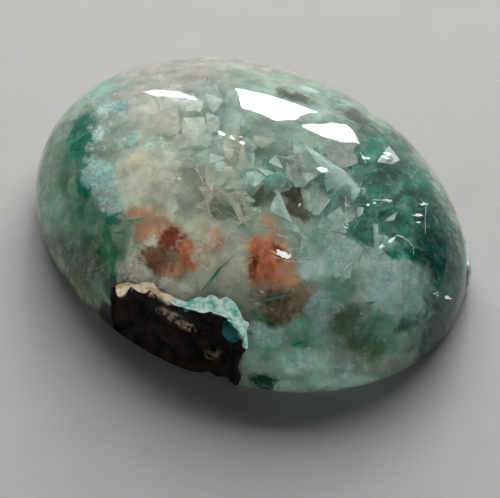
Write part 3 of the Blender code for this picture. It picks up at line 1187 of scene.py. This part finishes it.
# Crystal veils named from the photograph: corners as pixel x, y and cover in percent, depth in mm, tint
VEILS = (
    (((210, 141, 60), (226, 137, 40), (243, 145, 60), (240, 166, 10), (222, 170, 5), (208, 158, 20)), 1.0,
        GREY_GREEN),
    (((210, 153, 90), (227, 158, 80), (209, 164, 40)), 0.5, MIST),
    (((215, 162, 80), (224, 161, 70), (230, 171, 30), (217, 171, 60)), 0.6, PALE_TEAL),
    (((221, 168, 70), (232, 167, 80), (236, 175, 60), (224, 177, 20)), 0.6, BEIGE),
    (((242, 143, 90), (251, 170, 30), (236, 176, 30), (239, 158, 70)), 0.5, BEIGE),
    (((246, 173, 90), (256, 171, 80), (265, 178, 90), (255, 187, 90), (248, 182, 50)), 0.5, PALE_TEAL),
    (((255, 166, 70), (267, 176, 90), (279, 174, 80), (268, 171, 30)), 0.55, PALE_TEAL),
    (((269, 142, 0), (292, 140, 60), (295, 158, 70), (282, 166, 60), (268, 156, 20)), 1.3, SMOKE),
    (((288, 160, 20), (300, 152, 60), (314, 153, 70), (321, 166, 80), (313, 178, 80), (303, 187, 90),
        (294, 186, 90)), 0.8, GREY_GREEN),
    (((287, 162, 90), (295, 186, 90), (286, 177, 30)), 0.6, MIST),
    (((305, 145, 90), (344, 170, 90), (359, 186, 80), (340, 183, 20), (318, 166, 30)), 0.5, PALE_TEAL),
    (((316, 158, 20), (343, 170, 80), (361, 190, 90), (352, 205, 20), (330, 186, 10)), 0.6, PALE_TEAL),
    (((322, 142, 30), (357, 143, 60), (358, 163, 80), (343, 168, 70), (328, 158, 60)), 0.9, (152, 146, 136)),
    (((279, 192, 90), (293, 222, 90), (283, 219, 60), (270, 211, 40), (273, 200, 40)), 0.5, PALE_TEAL),
    (((300, 187, 60), (310, 192, 70), (312, 212, 60), (304, 208, 20)), 0.7, (150, 176, 150)),
    (((312, 214, 80), (319, 215, 90), (331, 199, 90), (323, 196, 40)), 0.5, MIST),
    (((329, 230, 80), (340, 215, 80), (347, 233, 80)), 0.6, (156, 174, 154)),
    (((345, 196, 40), (350, 195, 60), (351, 218, 60), (347, 219, 20)), 0.5, MIST),
    (((345, 230, 80), (361, 219, 90), (373, 223, 90), (374, 248, 90), (357, 240, 60)), 0.8, EMERALD),
    (((381, 223, 30), (398, 211, 80), (394, 220, 80)), 0.5, PALE_TEAL),
    (((389, 146, 90), (400, 160, 90), (392, 164, 70), (377, 162, 90)), 0.4, (206, 216, 218)),
    (((373, 224, 60), (378, 224, 90), (378, 246, 90), (374, 246, 40)), 0.5, PALE_TEAL),
    (((333, 236, 10), (350, 240, 50), (362, 246, 80), (355, 258, 80), (338, 262, 40)), 0.7, (176, 212, 194)),
    (((365, 246, 90), (358, 268, 30), (340, 274, 90)), 0.5, (150, 180, 156)),
    (((312, 231, 80), (335, 234, 80), (336, 247, 80), (312, 261, 30), (298, 259, 70)), 0.6, (118, 156, 136)),
    (((228, 197, 90), (245, 206, 60), (262, 211, 20), (246, 222, 80)), 0.5, BEIGE),
    # Painted shadow beside the beige cells
    (((239, 205, 20), (242, 204, 90), (246, 216, 90), (241, 217, 20)), 0.45, PAINTED_SHADOW_BROWN),
    (((209, 197, 70), (222, 195, 50), (233, 208, 60), (240, 222, 70), (222, 222, 60), (211, 216, 80)),
        0.9, SMOKE),
    (((172, 158, 10), (190, 152, 50), (205, 165, 60), (206, 190, 60), (200, 215, 40), (178, 216, 10)),
        1.0, (124, 128, 114)),
    (((158, 107, 70), (177, 102, 70), (181, 131, 80), (155, 134, 50)), 0.8, (204, 194, 172)),
    (((150, 97, 80), (158, 102, 80), (158, 115, 60), (151, 112, 40)), 0.5, (214, 210, 174)),
    (((182, 100, 80), (204, 101, 70), (201, 112, 50), (186, 110, 50)), 0.6, (212, 212, 184)),
    (((184, 118, 70), (204, 117, 60), (207, 130, 40), (190, 134, 50)), 0.8, (230, 222, 196)),
    (((176, 134, 70), (196, 132, 70), (199, 146, 40), (178, 149, 40)), 0.5, (238, 236, 214)),
    (((198, 130, 40), (214, 127, 50), (210, 147, 60), (196, 145, 30)), 0.8, (176, 192, 162)),
    (((206, 113, 50), (218, 116, 70), (221, 131, 60), (209, 133, 30)), 0.6, (194, 192, 174)),
    (((163, 66, 20), (205, 66, 30), (211, 90, 40), (190, 94, 40), (166, 92, 20)), 1.0, (166, 178, 156)),
)
# Softer crystal faces at random: pixel centre, half sizes, turn, how many, sizes in pixels,
# depths in mm, tints
SOFT_FACES = (
    ((258, 168), (54, 36), 12, 44, (8, 20), (0.45, 1.9), (PALE_TEAL, GREY_GREEN, SMOKE, MIST, BEIGE,
        DEEP_SEA)),
    ((318, 192), (46, 44), 20, 42, (8, 20), (0.45, 1.7), (PALE_TEAL, PALE_TEAL, SEA, MIST, GREY_GREEN,
        DEEP_SEA)),
    ((376, 196), (30, 46), 35, 50, (6, 16), (0.45, 1.5), (EMERALD, SEA, DEEP_SEA, SEA, DEEP_SEA)),
    ((222, 200), (28, 28), 0, 12, (8, 16), (0.5, 1.4), (BEIGE, GREY_GREEN, MIST, BEIGE)),
    ((184, 118), (34, 28), 0, 16, (10, 20), (0.6, 2.0), (BEIGE, MIST, MIST)),
    ((334, 256), (36, 20), 10, 7, (8, 18), (0.5, 1.0), (PALE_TEAL, MIST)),
)
# Dark pockets between the crystals, where few faces stand
POCKETS = (((262, 194), (15, 14), 0), ((292, 198), (13, 22), -25), ((222, 210), (11, 12), 0))
POCKET_SHARE = 0.1
EDGE_RADIUS = 0.025 * MM
EDGE_TINT = (250, 255, 250)
EDGE_SHARES = (0.3, 0.9)
EDGE_CHANCE = 0.85
DARK_EDGE_SHARE = 0.3
PALE_EDGE_GREENS = (100, 220)
EDGE_POINTS = (0.0, 0.15, 0.85, 1.0)
EDGE_WIDTHS = (0.4, 1.3)
# How far a face's corners stray in depth, and the least depth, in mm
FACE_TILT = 0.3
FACE_SHALLOWEST = 0.2
# A random face's corners: how far they turn, how long their arms are, and how well they cover
FACE_JITTER = 0.5
FACE_ARMS = (0.5, 1.1)
FIRM_COVERS = (60, 95)
FADED_COVERS = (0, 30)
TINT_SPREAD = 0.35
CRYSTAL_SEED = 29
CRISP = 62
rng.seed(CRYSTAL_SEED)
veils = Pile()
edges = Pile()


def add_edge(first, second, tint):
    path = [first + (second - first) * along for along in EDGE_POINTS]
    radii = [EDGE_RADIUS * rng.uniform(*EDGE_WIDTHS) for _ in path]
    pale = DARK_EDGE_SHARE + (1 - DARK_EDGE_SHARE) * smooth(*PALE_EDGE_GREENS, tint[1])
    edges.rod(path, radii, blend(tint, EDGE_TINT, rng.uniform(*EDGE_SHARES) * pale), sides=4)


def add_veil(corners, depth, tint):
    placed = []
    for x, y, _ in corners:
        placed.append(inside((x, y), max(FACE_SHALLOWEST, depth + rng.uniform(-FACE_TILT, FACE_TILT)))[0])
    colour = under_glass(*tint)[:3]
    veils.sheet(placed, [(*colour, cover / 100) for _, _, cover in corners])
    for index, (_, _, cover) in enumerate(corners):
        after = (index + 1) % len(corners)
        if min(cover, corners[after][2]) >= CRISP and rng.random() < EDGE_CHANCE:
            add_edge(placed[index], placed[after], tint)


for corners, depth, tint in VEILS:
    add_veil(corners, depth, tint)
for centre, sizes, turn, count, (small, large), (shallow, deep), tints in SOFT_FACES:
    for _ in range(count):
        bearing = rng.uniform(0, TAU)
        reach = math.sqrt(rng.random())
        u, v = reach * sizes[0] * math.cos(bearing), reach * sizes[1] * math.sin(bearing)
        middle = set_off(centre, u, v, turn)
        in_pocket = patch_mask(np.array([middle]), POCKETS, 0)[0] > EDGE_VALUE
        if in_pocket and rng.random() > POCKET_SHARE:
            continue
        size = rng.uniform(small, large)
        start = rng.uniform(0, TAU)
        corners = []
        for k in range(rng.choice((3, 4))):
            angle = start + TAU * k / 4 + rng.uniform(-FACE_JITTER, FACE_JITTER)
            arm = size * rng.uniform(*FACE_ARMS)
            cover = rng.uniform(*FIRM_COVERS) if k < 2 else rng.uniform(*FADED_COVERS)
            corners.append((middle[0] + arm * math.cos(angle), middle[1] + arm * math.sin(angle), cover))
        first, second, share = rng.choice(tints), rng.choice(tints), rng.random() * TINT_SPREAD
        add_veil(corners, rng.uniform(shallow, deep), [a + (b - a) * share for a, b in zip(first, second)])
veil_look = veil_material("crystal veils", 0.5 * MM, 0.65, 0.35, (0.82, 1.15))
veils.build("crystal_veils", veil_look, rounded=False)

# Pale veins and fracture lines: pixels along each, half width in pixels, tint
RED_BEIGE = (196, 146, 120)
CREAM = (210, 200, 176)
RED = (200, 92, 66)
VEIN_SHARE = 0.7
VEIN_DEPTH = 0.4
VEIN_STEPS = 5
VEIN_STRAY = 0.035 * MM
VEIN_WIDTHS = (0.3, 1.0)
VEINS = (
    (((197, 190), (206, 193), (215, 190), (228, 195)), 1.4, RED_BEIGE),
    (((199, 187), (204, 185), (210, 188)), 1.2, RED),
    (((228, 195), (240, 196), (249, 195)), 1.1, RED),
    (((205, 190), (206, 200), (209, 212), (213, 218)), 1.1, CREAM),
    (((228, 197), (233, 206), (240, 216), (246, 222)), 0.7, CREAM),
    (((165, 148), (176, 152), (190, 158), (198, 170), (203, 183), (207, 191)), 1.0, CREAM),
    (((192, 167), (196, 169), (199, 173)), 1.5, RED_BEIGE),
    (((155, 140), (163, 143), (175, 145)), 1.6, WHITE),
    (((175, 98), (179, 118), (180, 130), (184, 143)), 0.7, (118, 128, 112)),
    (((213, 117), (217, 122), (220, 129)), 0.8, RED),
    (((232, 135), (247, 139), (258, 139)), 0.5, WHITE),
    (((293, 185), (303, 187), (309, 181), (312, 176)), 0.9, MIST),
    (((298, 259), (312, 258), (324, 253), (336, 246)), 0.9, MIST),
    (((329, 230), (340, 233), (356, 239), (366, 250), (373, 262)), 0.9, (64, 76, 62)),
    (((400, 236), (407, 240), (413, 246), (414, 256)), 0.9, MIST),
    (((378, 247), (388, 241), (398, 235), (404, 238)), 1.1, WHITE),
    (((345, 196), (346, 208), (347, 226)), 0.8, MIST),
    (((275, 234), (284, 237), (292, 239)), 1.0, (236, 206, 196)),
    (((246, 230), (257, 227), (261, 240), (265, 247), (272, 253)), 0.8, (220, 150, 124)),
    (((258, 222), (266, 226), (276, 225), (274, 231)), 0.8, (226, 176, 156)),
    (((272, 256), (286, 261), (300, 262), (318, 262)), 0.9, MIST),
    (((352, 262), (356, 274), (366, 284)), 0.8, (150, 170, 150)),
    (((340, 274), (352, 262), (365, 246)), 0.7, MIST),
    (((372, 200), (380, 200), (392, 202)), 1.0, WHITE),
    (((420, 198), (426, 206), (425, 222), (426, 236)), 0.6, MIST),
    (((209, 213), (216, 208), (222, 215)), 0.6, CREAM),
    (((360, 152), (364, 158), (366, 164)), 1.0, WHITE),
)
for path, half, tint in VEINS:
    placed = [inside(pixel, VEIN_DEPTH)[0] for pixel in path]
    fine = []
    for first, second in zip(placed, placed[1:]):
        for step in range(VEIN_STEPS):
            stray = rng.uniform(-1, 1) * VEIN_STRAY * RIGHT
            fine.append(first + (second - first) * step / VEIN_STEPS + stray)
    fine.append(placed[-1])
    radii = [half * VEIN_SHARE * MM_PER_PIXEL * MM * rng.uniform(*VEIN_WIDTHS) for _ in fine]
    edges.rod(fine, radii, under_glass(*tint), sides=6)
edge_look = tinted_material("crystal edges", 0.3, 0.4 * MM, (150, 172, 154))
edges.build("crystal_edges", edge_look)

# Painted glints of small fracture faces near the skin, white plates with a faint glow: pixel, length and
# width in pixels, turn
GLINTS = (
    ((281, 254), 12, 5, 25), ((289, 256), 5, 4, -20), ((322, 169), 11, 4, 10), ((387, 200), 9, 2, 10),
    ((375, 203), 3, 3, 0), ((416, 215), 8, 3, 10), ((418, 222), 6, 2, 0), ((366, 158), 6, 3, 20),
    ((424, 204), 7, 2, 0), ((240, 137), 3, 2, 0), ((175, 178), 3, 2, 0), ((362, 313), 3, 2, 0),
    ((315, 294), 2, 2, 0), ((384, 340), 2, 2, 0), ((308, 348), 2, 2, 0), ((262, 291), 3, 2, 20),
    ((256, 304), 2, 2, 0), ((272, 310), 2, 2, 0), ((225, 302), 3, 3, 0), ((227, 310), 4, 3, 0),
    ((242, 310), 3, 2, 0), ((231, 306), 2, 2, 0), ((180, 178), 4, 3, 0), ((222, 134), 7, 3, 20),
    ((232, 137), 5, 2, 30), ((242, 144), 3, 5, 0), ((437, 294), 5, 3, 10), ((448, 297), 5, 3, 10),
    ((392, 240), 8, 3, -30), ((382, 246), 6, 3, -30), ((400, 236), 5, 2, 10), ((387, 155), 5, 7, 15),
    ((348, 205), 3, 2, 30), ((300, 205), 3, 2, -40), ((368, 206), 2, 6, 0), ((347, 226), 2, 5, 10),
)


def painted_glint_material():
    material, tree, shader = new_material("painted fracture glints")
    tone = add_mix(tree, add_noise(tree, 0.3 * MM), (1.0, 1.0, 1.0, 1), (0.85, 0.94, 0.92, 1))
    tree.links.new(tone, shader.inputs["Base Color"])
    shader.inputs["Roughness"].default_value = 0.2
    # The faint glow is painted light, not a lamp
    shader.inputs["Emission Color"].default_value = (0.9, 1.0, 0.97, 1)
    shader.inputs["Emission Strength"].default_value = 0.5
    return material


SHARD_AREA = 4.0
SHARD_SHARES = (0.25, 0.60)
SHARD_JITTER = 0.6
SHARD_LENGTHS = (0.7, 1.6)
SHARD_WIDTHS = (0.3, 0.7)
SHARD_DEPTH = 0.28
SHARD_THICKNESS = 0.02 * MM
glints = Pile()
for spot, long, wide, turn in GLINTS:
    for _ in range(1 + round(long * wide / SHARD_AREA)):
        drift, bearing = math.sqrt(rng.random()), rng.uniform(0, TAU)
        middle = (drift * long / 2 * math.cos(bearing), drift * wide / 2 * math.sin(bearing))
        size = math.sqrt(long * wide) * rng.uniform(*SHARD_SHARES)
        corners = []
        for k in range(rng.choice((3, 4))):
            angle = TAU * k / 4 + rng.uniform(-SHARD_JITTER, SHARD_JITTER)
            u = middle[0] + size * rng.uniform(*SHARD_LENGTHS) * math.cos(angle)
            v = middle[1] + size * rng.uniform(*SHARD_WIDTHS) * math.sin(angle)
            corners.append(inside(set_off(spot, u, v, turn), SHARD_DEPTH)[0])
        glints.plate(corners, SHARD_THICKNESS, under_glass(255, 255, 255))
glints.build("painted_fracture_glints", painted_glint_material(), rounded=False)

# Green needles: pixel ends, how many side by side
NEEDLES = (
    ((125, 223), (152, 218), 4), ((113, 234), (126, 231), 3), ((123, 240), (130, 230), 3),
    ((236, 254), (218, 272), 3), ((222, 266), (200, 295), 5), ((217, 303), (222, 299), 2),
    ((260, 302), (295, 293), 4), ((250, 310), (275, 325), 4), ((248, 331), (254, 337), 2),
    ((266, 350), (272, 346), 2), ((290, 346), (308, 340), 4), ((365, 305), (378, 301), 3),
    ((340, 285), (352, 276), 2), ((402, 300), (412, 288), 2), ((176, 62), (184, 60), 3),
)
NEEDLE_TINTS = ((16, 108, 74), (60, 156, 116))
NEEDLE_STRAY = 2.2
NEEDLE_DEPTHS = (0.2, 0.4)
NEEDLE_RADII = (0.022 * MM, 0.045 * MM)
needles = Pile()
for start, end, count in NEEDLES:
    for _ in range(count):
        ends = []
        for pixel in (start, end):
            shifted = [place + rng.uniform(-NEEDLE_STRAY, NEEDLE_STRAY) for place in pixel]
            ends.append(inside(shifted, rng.uniform(*NEEDLE_DEPTHS))[0])
        path = [ends[0] + (ends[1] - ends[0]) * share for share in (0.0, 0.2, 0.6, 1.0)]
        radius = rng.uniform(*NEEDLE_RADII)
        needles.rod(path, [radius, radius, radius * 0.8, radius], blend(*NEEDLE_TINTS, rng.random()))
needle_look = tinted_material("green needles", 0.35, 0.3 * MM, (30, 120, 86))
needles.build("green_needles", needle_look)

# A pale teal sliver in the ledge at the right end: a closed band under the skin
SLIVER_COLUMNS = 40
SLIVER_ROWS = 8
SLIVER_MIDDLE = 1.05 * MM
SLIVER_HALF_HEIGHT = 0.80 * MM
SLIVER_RAGGED = 0.5
SLIVER_SPREAD = 0.95 * LEDGE_SPREAD
SLIVER_WAVE = 0.10 * MM
# The sliver's ends are this share of its middle's height
SLIVER_TIP = 0.03
SLIVER_DEPTHS = (0.05 * MM, 0.30 * MM)
SLIVER_PALE = 0.6
SLIVER_SPACING = 0.9 * MM
SLIVER_WAVE_SPACING = 0.7 * MM
SLIVER_RAGGED_WAVES = 4.0


def sliver_point(along, upward, depth):
    away = 2 * along - 1
    angle = LEDGE_ANGLE + away * SLIVER_SPREAD
    ragged = 1 + SLIVER_RAGGED * noise.noise(Vector((away * SLIVER_RAGGED_WAVES, round(upward), 0.5)))
    reach = SLIVER_HALF_HEIGHT * (1 + SLIVER_TIP - away * away) * ragged
    height = SLIVER_MIDDLE + (2 * upward - 1) * reach
    point = oval_point(angle, 1.0, height)
    swell = SLIVER_WAVE * noise.noise(point / SLIVER_WAVE_SPACING)
    return np.array(point) - np.array((math.cos(angle), math.sin(angle), 0.0)) * (depth + abs(swell))


sliver = Pile()
points, tints = [], []
for i in range(SLIVER_COLUMNS + 1):
    for depth in SLIVER_DEPTHS:
        for j in range(SLIVER_ROWS + 1):
            point = sliver_point(i / SLIVER_COLUMNS, j / SLIVER_ROWS, depth)
            share = SLIVER_PALE * (1 + noise.noise(Vector(point) / SLIVER_SPACING))
            points.append(point)
            tints.append(blend(TUFT_DARK, TUFT_PALE, min(1.0, max(0.0, share))))
sliver.add(points, slab_faces(SLIVER_COLUMNS, SLIVER_ROWS), tints)
sliver_look = tinted_material("ledge sliver", 0.6, 0.4 * MM, (120, 190, 172), smoky=0.4)
sliver.build("ledge_sliver", sliver_look)

# Floor, light and camera

FLOOR_SIZE = 3.0
bm = bmesh.new()
bmesh.ops.create_grid(bm, x_segments=1, y_segments=1, size=FLOOR_SIZE / 2)
floor = make_object("floor", bm)
floor.data.materials.append(floor_material())

# Window cards, each drawn by where its reflection shows on the dome: corners in pixels, radiance
CARD_DISTANCE = 0.6
CARDS = (
    ("window_1", ((237, 89), (264, 94), (299, 105), (317, 112), (295, 119), (279, 122), (258, 113),
        (242, 107)), 22.0),
    ("window_2", ((302, 126), (320, 124), (345, 124), (352, 130), (359, 143), (340, 142), (321, 136),
        (311, 131)), 13.0),
    ("window_3", ((142, 92), (154, 90), (182, 92), (202, 100), (173, 98), (154, 96)), 9.0),
)


def make_card(name, pixels, radiance):
    corners = []
    for ray in pixel_rays(pixels):
        start = np.array(dome_tree.ray_cast(Vector(EYE), Vector(ray))[0])
        normal = dome_normals(start[None])[0]
        corners.append(start + (ray - 2 * (ray @ normal) * normal) * CARD_DISTANCE)
    card = mesh_from(name, corners, [list(range(len(corners)))])
    material = bpy.data.materials.new(name)
    material.use_nodes = True
    tree = material.node_tree
    tree.nodes.remove(tree.nodes["Principled BSDF"])
    emission = tree.nodes.new("ShaderNodeEmission")
    emission.inputs["Strength"].default_value = radiance
    tree.links.new(emission.outputs[0], tree.nodes["Material Output"].inputs["Surface"])
    card.data.materials.append(material)
    card.visible_camera = False
    card.visible_shadow = False


for card in CARDS:
    make_card(*card)

# Soft lights: name, azimuth from +X, elevation, angular width and height in degrees, radiance
SOFTBOX_DISTANCE = 0.28
BACK_AZIMUTH = 121.0
SOFTBOXES = (
    ("back_softbox", BACK_AZIMUTH, 42.0, 60.0, 30.0, 8.8),
    ("front_kicker", -76.0, 5.0, 64.0, 8.0, 11.0),
)


def add_softbox(name, azimuth, elevation, wide, high, radiance):
    data = bpy.data.lights.new(name, "AREA")
    data.shape = "RECTANGLE"
    data.size = 2 * SOFTBOX_DISTANCE * math.tan(math.radians(wide / 2))
    data.size_y = 2 * SOFTBOX_DISTANCE * math.tan(math.radians(high / 2))
    data.energy = radiance * math.pi * data.size * data.size_y
    light = bpy.data.objects.new(name, data)
    flat = math.cos(math.radians(elevation))
    direction = Vector((
        math.cos(math.radians(azimuth)) * flat,
        math.sin(math.radians(azimuth)) * flat,
        math.sin(math.radians(elevation)),
    ))
    light.location = direction * SOFTBOX_DISTANCE
    light.rotation_euler = direction.to_track_quat("Z", "Y").to_euler()
    light.visible_camera = False
    light.visible_glossy = False
    bpy.context.scene.collection.objects.link(light)


for softbox in SOFTBOXES:
    add_softbox(*softbox)

# The room: bright behind the stone and dim in front of it
ROOM_BRIGHT = 0.7
ROOM_DIM = 0.03
ROOM_RANGE = (0.5, 1.05)
ROOM_LIFT = 0.3
world = bpy.data.worlds.new("studio")
world.use_nodes = True
tree = world.node_tree
coordinates = tree.nodes.new("ShaderNodeTexCoord")
turned = tree.nodes.new("ShaderNodeVectorMath")
turned.operation = "DOT_PRODUCT"
back_turn = math.radians(BACK_AZIMUTH)
turned.inputs[1].default_value = (math.cos(back_turn), math.sin(back_turn), ROOM_LIFT)
tree.links.new(coordinates.outputs["Generated"], turned.inputs[0])
brightness = add_range(tree, turned.outputs["Value"], *ROOM_RANGE, ROOM_DIM, ROOM_BRIGHT)
tree.links.new(brightness, tree.nodes["Background"].inputs["Strength"])
tree.nodes["Background"].inputs["Color"].default_value = (0.93, 0.96, 1.0, 1)
bpy.context.scene.world = world

centre_shift = (np.array(IMAGE_SIZE) / 2 - ORIGIN_PIXEL) / FOCAL_PIXELS * DISTANCE
aim = RIGHT * centre_shift[0] - UP * centre_shift[1]
camera_data = bpy.data.cameras.new("camera")
camera_data.sensor_width = SENSOR_WIDTH_MM
camera_data.lens = SENSOR_WIDTH_MM * FOCAL_PIXELS / IMAGE_SIZE[0]
camera_data.clip_start = 0.01
camera = bpy.data.objects.new("camera", camera_data)
camera.location = EYE
camera.rotation_euler = Vector(EYE - aim).to_track_quat("Z", "Y").to_euler()
bpy.context.scene.collection.objects.link(camera)
bpy.context.scene.camera = camera
bpy.context.scene.view_settings.view_transform = "Standard"
bpy.context.scene.cycles.glossy_bounces = 12
bpy.context.scene.cycles.transparent_max_bounces = 32
